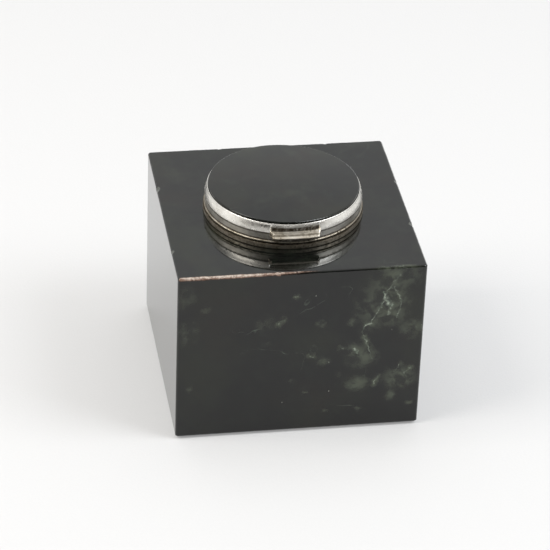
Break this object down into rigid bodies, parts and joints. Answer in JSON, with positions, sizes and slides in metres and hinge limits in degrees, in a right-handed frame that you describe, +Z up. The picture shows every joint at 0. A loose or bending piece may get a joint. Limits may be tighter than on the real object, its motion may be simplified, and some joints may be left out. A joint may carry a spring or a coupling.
{
  "type": "desk inkwell",
  "caption": "Square polished stone desk inkwell with a silver collar, a loose glass liner and a hinged, stone-inlaid silver lid opened by a front thumb piece.",
  "frame": {"origin": "middle of the underside, on the surface the inkwell stands on", "axes": "+Z up; -Y is the front, where the thumb piece is; the hinge is at the back, towards +Y"},
  "size_m": [0.08, 0.08, 0.0717],
  "materials": {
    "stone": "polished dark green-black stone with pale veins",
    "silver": "satin silver, lightly scratched and tarnished in the grooves",
    "liner_glass": "clear moulded glass, slightly green",
    "felt": "dark green felt",
    "plaster": "matt plaster"
  },
  "bodies": {
    "block": {"stone_block": "stone", "base_pad": "felt", "collar_sleeve": "silver", "collar_ring": "silver", "collar_bedding": "plaster", "collar_knuckles": "silver", "hinge_pin": "silver"},
    "liner": {"glass_liner": "liner_glass"},
    "lid": {"lid_wall": "silver", "lid_bead": "silver", "lid_bezel": "silver", "lid_plate": "silver", "inlay_bedding": "plaster", "lid_inlay": "stone", "lid_knuckle": "silver", "thumb_piece": "silver"}
  },
  "joints": [
    {"name": "lid_hinge", "type": "hinge", "parent": "block", "child": "lid", "pos_m": [-0.0004, 0.028, 0.0638], "axis": [-1, 0, 0], "range_deg": [0, 110]},
    {"name": "liner_lift", "type": "slide", "parent": "block", "child": "liner", "axis": [0, 0, 1], "range_m": [0, 0.0022]}
  ]
}
